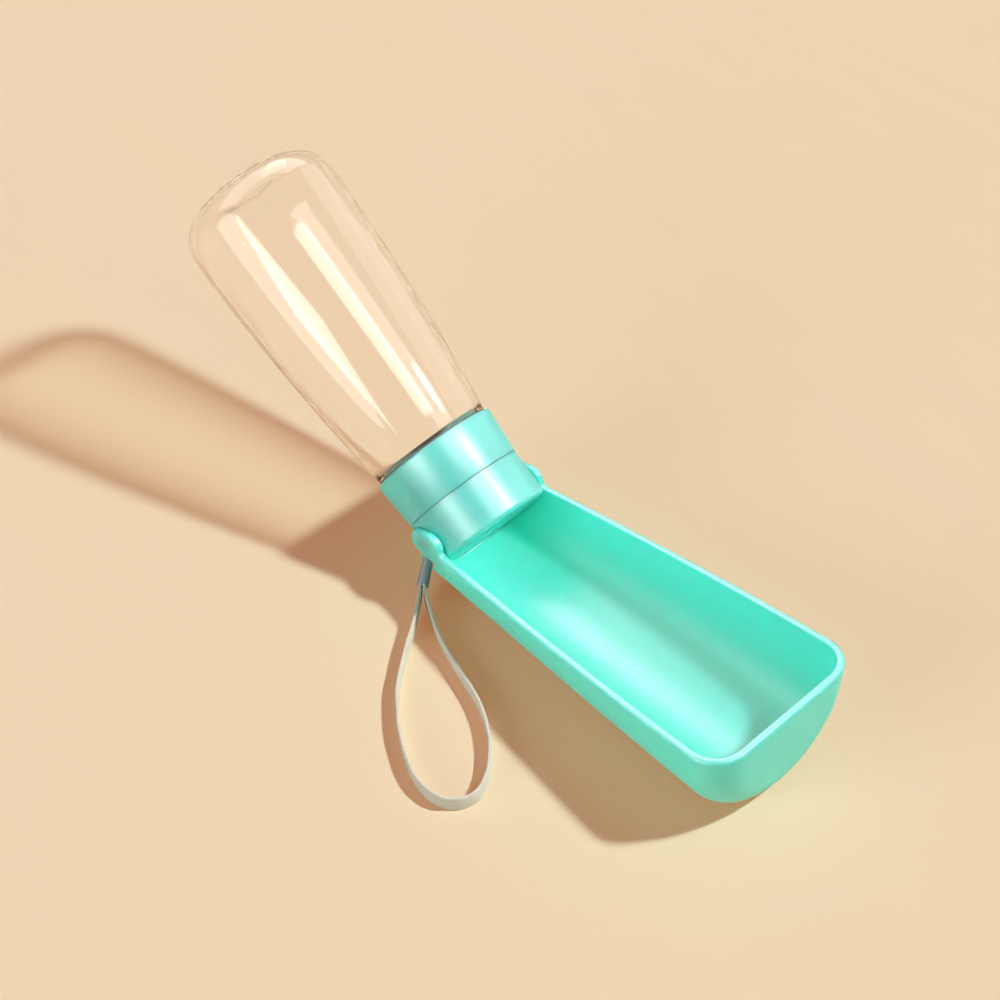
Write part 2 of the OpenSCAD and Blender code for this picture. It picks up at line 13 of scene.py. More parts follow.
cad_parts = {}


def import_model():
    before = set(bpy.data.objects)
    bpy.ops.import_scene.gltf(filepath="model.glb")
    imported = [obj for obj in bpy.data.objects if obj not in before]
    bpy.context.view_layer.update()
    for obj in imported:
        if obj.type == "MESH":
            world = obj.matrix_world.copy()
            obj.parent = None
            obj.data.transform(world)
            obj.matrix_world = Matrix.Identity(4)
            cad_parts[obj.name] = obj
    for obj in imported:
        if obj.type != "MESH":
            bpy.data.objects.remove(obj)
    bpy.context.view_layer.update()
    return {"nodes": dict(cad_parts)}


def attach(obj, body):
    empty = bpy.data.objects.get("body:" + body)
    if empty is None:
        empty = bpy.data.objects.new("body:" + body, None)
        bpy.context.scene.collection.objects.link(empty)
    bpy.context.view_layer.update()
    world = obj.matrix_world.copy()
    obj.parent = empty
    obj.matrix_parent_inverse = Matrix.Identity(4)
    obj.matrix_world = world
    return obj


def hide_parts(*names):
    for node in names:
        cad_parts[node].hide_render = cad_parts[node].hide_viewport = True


LOG = logging.getLogger("dog_bottle")
MM = 0.001
UP = Vector((0, 0, 1))
MERGE = 1e-7  # vertices nearer than this, in metres, are one
MIX_FIRST, MIX_SECOND, MIX_RESULT = 6, 7, 2  # the colour sockets of a Mix node


class Body(Enum):
    """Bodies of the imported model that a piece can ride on."""

    HEAD = "head"
    BOTTLE = "bottle"
    FILTER = "filter"
    BUTTON = "button"
    LOCK = "lock"
    TRAY = "tray"


@dataclass(frozen=True)
class Layout:
    """Where the hinge stands and how far the bottle leans, in the row frame."""

    hinge_x: float = -8.35 * MM
    hinge_h: float = 31.126 * MM
    tilt: float = math.radians(32.8)

    def bottle_frame(self) -> Matrix:
        """Matrix from the bottle frame, z along its axis and x to the front, to the row frame."""
        c, s = math.cos(self.tilt), math.sin(self.tilt)
        return Matrix(((s, 0, -c, self.hinge_x), (0, 1, 0, 0), (c, 0, s, self.hinge_h), (0, 0, 0, 1)))

    def tray_frame(self) -> Matrix:
        """Matrix from the tray frame, x from the hinge axis and z from the floor, to the row frame."""
        return Matrix.Translation((self.hinge_x, 0, 0))


LAYOUT = Layout()


# --- Finishes -----------------------------------------------------------------------------------


def new_group(name: str, inputs: Sequence[tuple], outputs: Sequence[tuple]) -> bpy.types.NodeTree:
    """Makes an empty shader node group.

    Args:
        name: The group's name.
        inputs: (name, socket type, default) of each input.
        outputs: (name, socket type) of each output.

    Returns:
        The new node tree.
    """
    tree = bpy.data.node_groups.new(name, "ShaderNodeTree")
    for label, kind, default in inputs:
        socket = tree.interface.new_socket(name=label, in_out="INPUT", socket_type=kind)
        socket.default_value = default
    for label, kind in outputs:
        tree.interface.new_socket(name=label, in_out="OUTPUT", socket_type=kind)
    return tree


class Nodes:
    """Short calls for adding and joining the nodes of one tree."""

    def __init__(self, tree: bpy.types.NodeTree) -> None:
        """Keeps the tree that the nodes go into."""
        self.tree = tree

    def add(self, kind: str, settings: Optional[dict] = None, **inputs: object) -> bpy.types.Node:
        """Adds one node.

        Args:
            kind: Blender's node type.
            settings: Attributes to set on the node.
            **inputs: Values or sockets for its inputs, by name with underscores for spaces, or in0, in1
                by index.

        Returns:
            The node.
        """
        node = self.tree.nodes.new(kind)
        for key, value in (settings or {}).items():
            setattr(node, key, value)
        for key, value in inputs.items():
            by_index = key.startswith("in") and key[2:].isdigit()
            socket = node.inputs[int(key[2:]) if by_index else key.replace("_", " ")]
            if isinstance(value, bpy.types.NodeSocket):
                self.link(value, socket)
            else:
                socket.default_value = value
        return node

    def link(self, source: bpy.types.NodeSocket, target: bpy.types.NodeSocket) -> None:
        """Joins an output to an input."""
        self.tree.links.new(source, target)

    def math(self, operation: str, a: object, b: object = 0.0, clamp: bool = False) -> bpy.types.NodeSocket:
        """Adds a Math node and returns its output."""
        settings = {"operation": operation, "use_clamp": clamp}
        return self.add("ShaderNodeMath", settings, in0=a, in1=b).outputs[0]

    def color(self, factor: object, first: tuple, second: object, blend: str = "MIX") -> bpy.types.NodeSocket:
        """Adds a colour Mix node and returns its output.

        Args:
            factor: Share of the second colour.
            first: The first colour.
            second: The second colour, or a socket for it.
            blend: How the two are mixed.

        Returns:
            The mixed colour.
        """
        node = self.add("ShaderNodeMix", {"data_type": "RGBA", "blend_type": blend}, in0=factor)
        node.inputs[MIX_FIRST].default_value = (*first, 1)
        if isinstance(second, bpy.types.NodeSocket):
            self.link(second, node.inputs[MIX_SECOND])
        else:
            node.inputs[MIX_SECOND].default_value = (*second, 1)
        return node.outputs[MIX_RESULT]


def grain_group() -> bpy.types.NodeTree:
    """Fine unevenness of moulded plastic: a colour factor, a roughness shift and a height."""
    name = "moulded_grain"
    if name in bpy.data.node_groups:
        return bpy.data.node_groups[name]
    inputs = (("Scale", 900.0), ("Tone", 0.03), ("Blotch", 0.05))
    outputs = ("Tone", "Roughness", "Height")
    kind = "NodeSocketFloat"
    tree = new_group(name, [(label, kind, value) for label, value in inputs],
                     [(label, kind) for label in outputs])
    n = Nodes(tree)
    gin, gout = n.add("NodeGroupInput"), n.add("NodeGroupOutput")
    place = n.add("ShaderNodeTexCoord").outputs["Object"]
    fine = n.add("ShaderNodeTexNoise", Vector=place, Scale=gin.outputs["Scale"], Detail=3.0, Roughness=0.6)
    broad = n.add("ShaderNodeTexNoise", Vector=place, Scale=38.0, Detail=4.0, Roughness=0.55)
    centred = n.math("SUBTRACT", broad.outputs["Fac"], 0.5)
    tone = n.math("ADD", n.math("MULTIPLY", centred, gin.outputs["Tone"]), 1.0)
    rough = n.math("MULTIPLY", centred, gin.outputs["Blotch"])
    for label, value in zip(outputs, (tone, rough, fine.outputs["Fac"])):
        n.link(value, gout.inputs[label])
    return tree


@dataclass(frozen=True)
class Finish:
    """A finish: its material is made once and then shared."""

    name: str

    def material(self) -> bpy.types.Material:
        """Makes the material, or returns it if it is there."""
        if self.name in bpy.data.materials:
            return bpy.data.materials[self.name]
        mat = bpy.data.materials.new(self.name)
        mat.use_nodes = True
        self.wire(Nodes(mat.node_tree), mat.node_tree.nodes["Principled BSDF"])
        return mat

    def wire(self, n: Nodes, bsdf: bpy.types.Node) -> None:
        """Joins the material's nodes.

        Args:
            n: The material's tree.
            bsdf: Its Principled node, which is joined to the output.
        """
        raise NotImplementedError


@dataclass(frozen=True)
class MouldedPlastic(Finish):
    """Opaque injection-moulded plastic."""

    color: tuple
    roughness: float = 0.36
    bump: float = 0.05
    gloss: float = 0.5
    subsurface: float = 0.0
    glow: tuple = (0.4, 1.0, 0.95)
    depth: float = 0.003

    def wire(self, n: Nodes, bsdf: bpy.types.Node) -> None:
        """Joins the material's nodes; see Finish.wire."""
        grain = n.add("ShaderNodeGroup", {"node_tree": grain_group()})
        tint = n.color(1.0, self.color, grain.outputs["Tone"], "MULTIPLY")
        n.link(tint, bsdf.inputs["Base Color"])
        n.link(n.math("ADD", grain.outputs["Roughness"], self.roughness), bsdf.inputs["Roughness"])
        bump = n.add("ShaderNodeBump", Strength=self.bump, Distance=0.2 * MM, Height=grain.outputs["Height"])
        n.link(bump.outputs[0], bsdf.inputs["Normal"])
        bsdf.inputs["IOR"].default_value = 1.48
        bsdf.inputs["Specular IOR Level"].default_value = self.gloss
        bsdf.inputs["Subsurface Weight"].default_value = self.subsurface
        if self.subsurface:
            bsdf.inputs["Subsurface Radius"].default_value = self.glow
            bsdf.inputs["Subsurface Scale"].default_value = self.depth


@dataclass(frozen=True)
class ClearPlastic(Finish):
    """Clear plastic that lets lamps through to the floor behind it."""

    color: tuple
    roughness: float = 0.015
    ior: float = 1.35
    shade: tuple = (0.985, 0.97, 0.95)
    edge: tuple = (0.5, 0.45, 0.4)

    def wire(self, n: Nodes, bsdf: bpy.types.Node) -> None:
        """Joins the material's nodes; see Finish.wire."""
        bsdf.inputs["Base Color"].default_value = (*self.color, 1)
        bsdf.inputs["Roughness"].default_value = self.roughness
        bsdf.inputs["IOR"].default_value = self.ior
        bsdf.inputs["Transmission Weight"].default_value = 1.0
        facing = n.add("ShaderNodeLayerWeight", Blend=0.35).outputs["Facing"]
        through = n.add("ShaderNodeBsdfTransparent", Color=n.color(facing, self.shade, self.edge))
        path = n.add("ShaderNodeLightPath")
        lamp = n.math("MAXIMUM", path.outputs["Is Shadow Ray"], path.outputs["Is Diffuse Ray"])
        mixed = n.add("ShaderNodeMixShader", in0=lamp, in1=bsdf.outputs[0], in2=through.outputs[0])
        n.link(mixed.outputs[0], n.tree.nodes["Material Output"].inputs["Surface"])


@dataclass(frozen=True)
class DrawnSteel(Finish):
    """Drawn stainless steel, a little uneven in its shine."""

    color: tuple = (0.72, 0.73, 0.75)
    roughness: float = 0.28
    spread: float = 0.18

    def wire(self, n: Nodes, bsdf: bpy.types.Node) -> None:
        """Joins the material's nodes; see Finish.wire."""
        place = n.add("ShaderNodeTexCoord").outputs["Object"]
        fine = n.add("ShaderNodeTexNoise", Vector=place, Scale=2600.0, Detail=2.0).outputs["Fac"]
        shine = n.math("ADD", n.math("MULTIPLY", fine, self.spread), self.roughness - self.spread / 2)
        n.link(shine, bsdf.inputs["Roughness"])
        bsdf.inputs["Base Color"].default_value = (*self.color, 1)
        bsdf.inputs["Metallic"].default_value = 1.0


@dataclass(frozen=True)
class WovenWebbing(Finish):
    """Flat woven webbing, patterned along its own UV map in millimetres."""

    warp: tuple = (1.0, 0.9, 0.78)
    weft: tuple = (0.62, 0.53, 0.43)
    rib_pitch: float = 0.9
    pick_pitch: float = 0.8
    slant: float = 0.22

    def wire(self, n: Nodes, bsdf: bpy.types.Node) -> None:
        """Joins the material's nodes; see Finish.wire."""
        uv = n.add("ShaderNodeUVMap", {"uv_map": "run"}).outputs[0]
        parts = n.add("ShaderNodeSeparateXYZ", Vector=uv)
        along, across = parts.outputs[0], parts.outputs[1]
        rib = n.math("SINE", n.math("MULTIPLY", across, math.tau / self.rib_pitch))
        slant = n.math("ADD", along, n.math("MULTIPLY", rib, self.slant))
        pick = n.math("SINE", n.math("MULTIPLY", slant, math.tau / self.pick_pitch))
        both = n.math("ADD", n.math("MULTIPLY", rib, 0.5), n.math("MULTIPLY", pick, 0.5))
        level = n.math("ADD", n.math("MULTIPLY", both, 0.5), 0.5, True)
        n.link(n.color(level, self.weft, self.warp), bsdf.inputs["Base Color"])
        bump = n.add("ShaderNodeBump", Strength=0.6, Distance=0.2 * MM, Height=level)
        n.link(bump.outputs[0], bsdf.inputs["Normal"])
        bsdf.inputs["Roughness"].default_value = 0.85
        bsdf.inputs["Sheen Weight"].default_value = 0.15


@dataclass(frozen=True)
class FloorPaper(Finish):
    """Plain pale paper, whose shadows are warmer than its lit face."""

    lit: tuple
    base: tuple

    def wire(self, n: Nodes, bsdf: bpy.types.Node) -> None:
        """Joins the material's nodes; see Finish.wire."""
        bsdf.inputs["Base Color"].default_value = (*self.base, 1)
        bsdf.inputs["Roughness"].default_value = 0.9
        bsdf.inputs["Specular IOR Level"].default_value = 0.0
        glow = [max(a - b, 0) for a, b in zip(self.lit, self.base)]
        bsdf.inputs["Emission Color"].default_value = (*glow, 1)
        path = n.add("ShaderNodeLightPath")
        seen = n.math("MAXIMUM", path.outputs["Is Camera Ray"], path.outputs["Is Glossy Ray"])
        seen = n.math("MAXIMUM", seen, path.outputs["Is Transmission Ray"])
        n.link(seen, bsdf.inputs["Emission Strength"])


MINT = MouldedPlastic("mint_moulding", (0.14, 0.85, 0.72), roughness=0.38, gloss=1.0, subsurface=1.0,
                      glow=(0.25, 1.0, 0.9), depth=6 * MM)
WHITE = MouldedPlastic("white_moulding", (0.82, 0.83, 0.82), roughness=0.42)
GASKET = MouldedPlastic("dark_silicone", (0.1, 0.11, 0.105), roughness=0.55, bump=0.1)
FERRULE = MouldedPlastic("grey_sleeve", (0.33, 0.35, 0.4), roughness=0.4)
CARBON = MouldedPlastic("pressed_carbon", (0.02, 0.02, 0.022), roughness=0.9, bump=0.6)
CLEAR = ClearPlastic("clear_body", (1.0, 0.985, 0.97), roughness=0.04)
STEEL = DrawnSteel("drawn_steel")
WEBBING = WovenWebbing("woven_strap")

NODE_FINISH = {
    "head_shell": MINT, "collar": MINT, "tray": MINT, "button_cap": MINT, "lock_slider": MINT,
    "mouth_seal": WHITE, "valve_block": WHITE, "outlet_nozzle": WHITE, "filter_basket": WHITE,
    "filter_cap": WHITE, "valve_stem": WHITE, "lock_clip": WHITE, "neck_gasket": GASKET,
    "valve_sleeve": GASKET, "stem_ring_front": GASKET, "stem_ring_back": GASKET, "filter_core": CARBON,
    "ferrule": FERRULE, "hinge_pin_left": STEEL, "hinge_pin_right": STEEL, "strap_anchor": STEEL,
    "return_spring": STEEL, "bottle": CLEAR, "strap_loop": WEBBING,
}


# --- Mesh helpers -------------------------------------------------------------------------------


def add_object(name: str, data: object) -> bpy.types.Object:
    """Makes an object and puts it into the scene.

    Args:
        name: The object's name.
        data: Its mesh, lamp or camera.

    Returns:
        The object.
    """
    obj = bpy.data.objects.new(name, data)
    bpy.context.scene.collection.objects.link(obj)
    return obj


def take_mesh(bm: bmesh.types.BMesh, name: str) -> bpy.types.Mesh:
    """Turns a bmesh into a mesh, and frees it.

    Args:
        bm: The shape.
        name: The mesh's name.

    Returns:
        The mesh.
    """
    mesh = bpy.data.meshes.new(name)
    bm.to_mesh(mesh)
    bm.free()
    return mesh


def finish_piece(bm: bmesh.types.BMesh, name: str, finish: Finish, body: Body,
                 place: Matrix, smooth: float) -> bpy.types.Object:
    """Turns a bmesh into a piece in the row frame and sets it riding.

    Args:
        bm: The shape, in its own frame.
        name: The piece's name.
        finish: The finish whose material it gets.
        body: The body that it rides on.
        place: Matrix from the shape's frame to the row frame.
        smooth: Edges sharper than this angle, in degrees, stay sharp.

    Returns:
        The new object.
    """
    bm.transform(place)
    bmesh.ops.recalc_face_normals(bm, faces=bm.faces[:])
    limit = math.radians(smooth)
    for face in bm.faces:
        face.smooth = True
    for edge in bm.edges:
        edge.smooth = len(edge.link_faces) == 2 and edge.calc_face_angle(0.0) < limit
    mesh = take_mesh(bm, name)
    mesh.materials.append(finish.material())
    obj = add_object(name, mesh)
    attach(obj, body.value)
    LOG.info("%s: %d faces on %s", name, len(mesh.polygons), body.value)
    return obj


def spin_outline(points: Iterable[tuple], steps: int) -> bmesh.types.BMesh:
    """Spins a closed outline of (radius, height) points round z.

    Args:
        points: The outline, in millimetres.
        steps: Number of steps round.

    Returns:
        The spun shape.
    """
    bm = bmesh.new()
    verts = [bm.verts.new((r * MM, 0, z * MM)) for r, z in points]
    edges = [bm.edges.new(pair) for pair in (*zip(verts, verts[1:]), (verts[-1], verts[0]))]
    bmesh.ops.spin(bm, geom=verts + edges, angle=math.tau, steps=steps, axis=(0, 0, 1), cent=(0, 0, 0),
                   use_merge=True)
    bmesh.ops.remove_doubles(bm, verts=bm.verts[:], dist=MERGE)
    return bm


def round_corners(corners: Sequence[tuple], steps: int = 5) -> list:
    """Rounds the corners of a closed outline.

    Args:
        corners: (x, y, radius) of each corner, in order.
        steps: Number of pieces in each rounding.

    Returns:
        The outline's (x, y) points.
    """
    out = []
    straight = math.radians(89)
    for i, (x, y, radius) in enumerate(corners):
        here = Vector((x, y))
        before, after = Vector(corners[i - 1][:2]), Vector(corners[(i + 1) % len(corners)][:2])
        a, b = (before - here).normalized(), (after - here).normalized()
        half = a.angle(b) / 2
        if radius <= 0 or half > straight:
            out.append((x, y))
            continue
        centre = here + (a + b).normalized() * (radius / math.sin(half))
        start, end = here + a * (radius / math.tan(half)), here + b * (radius / math.tan(half))
        for k in range(steps + 1):
            turn = (start - centre).slerp(end - centre, k / steps)
            out.append(tuple(centre + turn.normalized() * radius))
    return out


def loft(rings: Sequence[Sequence[Vector]]) -> tuple:
    """Joins closed rings of points, each with the same count, into one skin.

    Args:
        rings: The points of each ring, in order.

    Returns:
        The shape, and the vertices of each ring.
    """
    bm = bmesh.new()
    verts = [[bm.verts.new(p) for p in ring] for ring in rings]
    edges = []
    for ring in verts:
        edges.append([bm.edges.new(pair) for pair in (*zip(ring, ring[1:]), (ring[-1], ring[0]))])
    for a, b in zip(edges, edges[1:]):
        bmesh.ops.bridge_loops(bm, edges=a + b)
    return bm, verts


def stock(bm: bmesh.types.BMesh, name: str) -> bpy.types.Object:
    """Puts a shape into a passing object, so that a modifier can work on it.

    Args:
        bm: The shape, which is used up.
        name: The object's name.

    Returns:
        The object.
    """
    bmesh.ops.recalc_face_normals(bm, faces=bm.faces[:])
    return add_object(name, take_mesh(bm, name))


def combine(base: bmesh.types.BMesh, tools: Sequence[tuple]) -> bmesh.types.BMesh:
    """Joins shapes to a base, or cuts them from it.

    Args:
        base: The shape to work on.
        tools: (shape, "UNION" or "DIFFERENCE") of each step, in order.

    Returns:
        The new shape.
    """
    obj = stock(base, "stock")
    helpers = []
    for i, (shape, operation) in enumerate(tools):
        tool = stock(shape, f"tool_{i}")
        helpers.append(tool)
        step = obj.modifiers.new(f"step_{i}", "BOOLEAN")
        step.object, step.operation, step.solver = tool, operation, "EXACT"
    bpy.context.view_layer.update()
    done = obj.evaluated_get(bpy.context.evaluated_depsgraph_get())
    bm = bmesh.new()
    bm.from_mesh(done.to_mesh())
    done.to_mesh_clear()
    for item in [obj, *helpers]:
        mesh = item.data
        bpy.data.objects.remove(item)
        bpy.data.meshes.remove(mesh)
    bmesh.ops.remove_doubles(bm, verts=bm.verts[:], dist=MERGE)
    return bm


def split(bm: bmesh.types.BMesh, at: Sequence[float], normal: Sequence[float], clear: bool = False) -> None:
    """Splits a shape's faces along a plane.

    Args:
        bm: The shape.
        at: A point of the plane.
        normal: The plane's normal.
        clear: Whether the part that the normal points to is taken away.
    """
    geom = bm.verts[:] + bm.edges[:] + bm.faces[:]
    bmesh.ops.bisect_plane(bm, geom=geom, plane_co=at, plane_no=normal, clear_outer=clear)


def drum(radii: tuple, start: float, depth: float, segments: int) -> bmesh.types.BMesh:
    """Makes a round tool along z, in millimetres.

    Args:
        radii: Its radius at the start and at the end.
        start: Height of its start.
        depth: Its length.
        segments: Number of steps round.

    Returns:
        The shape.
    """
    bm = bmesh.new()
    middle = Matrix.Translation((0, 0, (start + depth / 2) * MM))
    bmesh.ops.create_cone(bm, cap_ends=True, segments=segments, radius1=radii[0] * MM, radius2=radii[1] * MM,
                          depth=depth * MM, matrix=middle)
    return bm


# --- Tray ---------------------------------------------------------------------------------------


@dataclass
class DrinkingTray:
    """The fold-out tray with its two hinge ears, in millimetres: x from the hinge axis, z from the floor."""

    near_w: float = 26.1
    far_w: float = 35.4
    length: float = 161.9
    rim_w: float = 3.0
    wall: float = 2.2
    floor_t: float = 2.2
    draft: float = 0.3
    belly: float = 1.55
    rise: float = math.tan(math.radians(5.6))
    drop: float = 1.6
    far_round: float = 14.5
    stand_drop: float = 1.2
    near_x: float = -14.0
    wide_x: float = 8.0
    foot_x: float = 18.0
    thin_x: float = 48.0
    outer_edge: float = 1.5
    inner_edge: float = 0.5
    ear_t: float = 3.0
    ear_edge: float = 1.9
    ear_back: tuple = (-1.5, -1.5, 5.9)
    ear_front: tuple = (4.2, 0.6, 5.6)
    ear_hollow: float = 1.5
    ear_low: float = -9.0
    ear_under: tuple = ((18.0, 4.5), (18.0, 0.0), (12.0, 0.0), (5.0, 0.8))
    ear_inner_edge: float = 0.4
    ear_rim_x: tuple = (13.0, 14.5, 16.0, 18.0)
    ear_split_x: tuple = (8.0, 10.0, 12.0, 14.0, 16.0)
    ear_split_z: tuple = (-7.5, -6.0, -4.7, -3.3)
    ear_lift: float = 0.015
    lift_x: float = 10.0
    hollow_x: float = 11.3
    trim: float = -10.0
    scoop_r: float = 28.026
    scoop_gap: float = 0.02
    lip: tuple = (26.6, -12.4)
    lip_depth: float = 20.0
    collar_room: tuple = (8.5, 20.5, 26.4, 27.8)
    room_lean: float = math.radians(87.5)
    pin_r: float = 2.46
    pin_end: float = 28.25
    pin_past: float = 1.5
    seam: float = 0.05
    rows: int = 70
    turns: int = 56
    edge_steps: int = 5
    far_steps: int = 16

    def half(self, x: float) -> float:
        """Half the width between the walls at the rim, at station x."""
        u = min(max((x - self.wide_x) / (self.length - self.wide_x), 0), 1)
        return self.near_w + (self.far_w - self.near_w) * (1 - (1 - u) ** self.belly)

    def wall_at(self, x: float) -> float:
        """Thickness of the wall at station x."""
        t = min(max((x - self.foot_x) / (self.thin_x - self.foot_x), 0), 1)
        return self.rim_w + (self.wall - self.rim_w) * t

    def rim_z(self, x: float) -> float:
        """Height of the rim's top face at station x."""
        return LAYOUT.hinge_h / MM - self.drop + x * self.rise

    def side_y(self, x: float, z: float) -> float:
        """Distance of the outer side from the middle plane.

        Args:
            x: The station.
            z: The height above the floor.

        Returns:
            The distance.
        """
        r = self.half(x) + self.wall_at(x)
        low = max(r - self.stand_drop - z, 0)
        return math.sqrt(max(r * r - low * low, 0))

    def stations(self, end: float, radius: float) -> list:
        """Places of the rows, along the side and then round the far end.

        Args:
            end: Station of the far end.
            radius: Rounding of the far corner.

        Returns:
            (x, inset, turn) of each row.
        """
        run = end - radius - self.near_x
        side = [(self.near_x + run * i / self.rows, 0.0, 0.0) for i in range(self.rows + 1)]
        turns = [math.pi / 2 * i / self.far_steps for i in range(1, self.far_steps + 1)]
        return side + [(end - radius * (1 - math.sin(t)), radius * (1 - math.cos(t)), t) for t in turns]

    def flank(self, at: tuple, rim: float, radius: float, bottom: float, edge: float, inner: bool) -> list:
        """One half of a section's skin, from the rim's top face down to the middle of the floor.

        Args:
            at: (x, inset, turn) of the row.
            rim: Half width at the rim.
            radius: Radius of the round bottom.
            bottom: Lowest height.
            edge: Rounding of the rim's edge.
            inner: Whether this is the inner skin.

        Returns:
            The points, on the side of +y.
        """
        x, _, turn = at
        way = -1 if inner else 1
        points = []
        for k in range(self.edge_steps + 1):
            a = math.pi / 2 * k / self.edge_steps
            back = way * edge * (1 - math.sin(a))
            px, py = x - back * math.sin(turn), rim - back * math.cos(turn)
            points.append(Vector((px, py, self.rim_z(px) - edge * (1 - math.cos(a)))))
        start = math.asin(min(max((bottom + radius - points[-1].z + self.seam) / radius, 0), 1))
        for k in range(self.turns + 1):
            t = start + (math.pi / 2 - start) * k / self.turns
            points.append(Vector((x, radius * math.cos(t), max(0.0, bottom + radius - radius * math.sin(t)))))
        return points

    def shell(self) -> bmesh.types.BMesh:
        """The trough, closed at its far end and cut off below the head."""
        rings = []
        outer = self.stations(self.length + self.rim_w, self.far_round)
        inner = self.stations(self.length, self.far_round - self.rim_w)
        for at, within in zip(outer, inner):
            x, inset, _ = at
            half = self.half(x)
            out = self.flank(at, half + self.rim_w - inset, half + self.wall_at(x) - inset,
                             inset - self.stand_drop, self.outer_edge, False)
            x, inset, _ = within
            half = self.half(x)
            into = self.flank(within, half - inset, half - self.draft - inset,
                              inset + self.floor_t, self.inner_edge, True)
            right = out[::-1] + into
            left = [Vector((p.x, -p.y, p.z)) for p in right[-2:0:-1]]
            rings.append([p * MM for p in right + left])
        bm, verts = loft(rings)
        last = verts[-1]
        half = len(last) // 2
        right = [bm.edges.get((last[k], last[k + 1])) for k in range(1, half - 1)]
        left = [bm.edges.get((last[-k], last[-k - 1])) for k in range(1, half - 1)]
        bmesh.ops.bridge_loops(bm, edges=right + left)
        bmesh.ops.holes_fill(bm, edges=[e for e in bm.edges if e.is_boundary and e.verts[0] in last], sides=4)
        c, s = math.cos(LAYOUT.tilt), math.sin(LAYOUT.tilt)
        at = Vector((-c * self.trim, 0, LAYOUT.hinge_h / MM + self.trim * s)) * MM
        split(bm, at, (-c, 0, s), clear=True)
        bmesh.ops.contextual_create(bm, geom=[e for e in bm.edges if e.is_boundary])
        return bm

    def ear_outline(self) -> list:
        """Side view of an ear, from the hinge axis: the lobe, its hollow and the start of the rim."""
        bx, bz, br = self.ear_back
        fx, fz, fr = self.ear_front
        line = math.atan2(fz - bz, fx - bx)
        top = line + math.acos((br - fr) / math.hypot(fx - bx, fz - bz))
        lean = math.atan(self.rise)
        hz = self.ear_hollow / math.cos(lean) - self.drop + self.hollow_x * self.rise
        hx = fx + math.sqrt((fr + self.ear_hollow) ** 2 - (hz - fz) ** 2)
        touch = math.atan2(hz - fz, hx - fx)
        down = math.radians(270)
        arcs = [(bx, bz, br, down, top, 26), (fx, fz, fr, top, touch, 22),
                (hx, hz, self.ear_hollow, math.pi + touch, down + lean, 8)]
        points = []
        for index, (x, z, r, a, b, steps) in enumerate(arcs):
            turns = [a + (b - a) * k / steps for k in range(index // 2, steps + 1)]
            points += [(x + r * math.cos(t), z + r * math.sin(t)) for t in turns]
        rim = [(x, self.rim_z(x) - LAYOUT.hinge_h / MM) for x in self.ear_rim_x]
        return points + rim + [(x, self.ear_low + up) for x, up in self.ear_under]

    def ear(self, side: int) -> bmesh.types.BMesh:
        """One ear: a rounded plate whose outside follows the side of the trough.

        Args:
            side: 1 for the ear at +y, -1 for the other one.

        Returns:
            The ear.
        """
        bm = bmesh.new()
        hinge = LAYOUT.hinge_h / MM
        verts = [bm.verts.new((x, self.near_w, hinge + z)) for x, z in self.ear_outline()]
        face = bm.faces.new(verts)
        out = bmesh.ops.extrude_face_region(bm, geom=[face])
        moved = [v for v in out["geom"] if isinstance(v, bmesh.types.BMVert)]
        bmesh.ops.translate(bm, verts=moved, vec=(0, self.ear_t, 0))
        bmesh.ops.recalc_face_normals(bm, faces=bm.faces[:])
        middle = self.near_w + 1
        far = [e for e in bm.edges if all(v.co.y > middle for v in e.verts)]
        near = [e for e in bm.edges if all(v.co.y < middle for v in e.verts)]
        for edges, offset, segments in ((far, self.ear_edge, 6), (near, self.ear_inner_edge, 3)):
            bmesh.ops.bevel(bm, geom=edges, offset=offset, offset_type="OFFSET", segments=segments,
                            profile=0.5, affect="EDGES", clamp_overlap=True, material=-1)
        for x in self.ear_split_x:
            split(bm, (x, 0, 0), (1, 0, 0))
        for z in self.ear_split_z:
            split(bm, (0, 0, hinge + z), (0, 0, 1))
        bmesh.ops.triangulate(bm, faces=[f for f in bm.faces if len(f.verts) > 4])
        for v in bm.verts:
            v.co.y += self.side_y(v.co.x, v.co.z) - self.near_w - self.rim_w + self.ear_lift
            v.co.y *= side
            v.co.z += self.ear_lift * min(max(v.co.x - self.lift_x, 0), 1)
        bmesh.ops.scale(bm, vec=(MM, MM, MM), verts=bm.verts[:])
        return bm

    def cuts(self) -> list:
        """Makes the room for the head as it turns and as it stands, the folded collar and the hinge pins.

        Returns:
            The shapes to cut away.
        """
        hinge = Matrix.Translation((0, 0, LAYOUT.hinge_h))
        ball = bmesh.new()
        bmesh.ops.create_uvsphere(ball, u_segments=128, v_segments=96, radius=self.scoop_r * MM)
        for side in (-1, 1):
            split(ball, (0, side * (self.near_w - self.scoop_gap) * MM, 0), (0, side, 0), clear=True)
            bmesh.ops.holes_fill(ball, edges=[e for e in ball.edges if e.is_boundary], sides=0)
        ball.transform(hinge)
        lip_r, lip_z = self.lip
        pocket = drum((lip_r, lip_r), lip_z, self.lip_depth, 160)
        pocket.transform(hinge @ Matrix.Rotation(LAYOUT.tilt - math.pi / 2, 4, "Y"))
        start, long, low, high = self.collar_room
        room = drum((low, high), start, long, 160)
        room.transform(hinge @ Matrix.Rotation(self.room_lean, 4, "Y"))
        bores = []
        depth = self.pin_end - self.near_w + self.pin_past
        for side in (-1, 1):
            bore = drum((self.pin_r, self.pin_r), self.pin_end - depth, depth, 48)
            bore.transform(hinge @ Matrix.Rotation(-side * math.pi / 2, 4, "X"))
            bores.append(bore)
        return [ball, pocket, room, *bores]

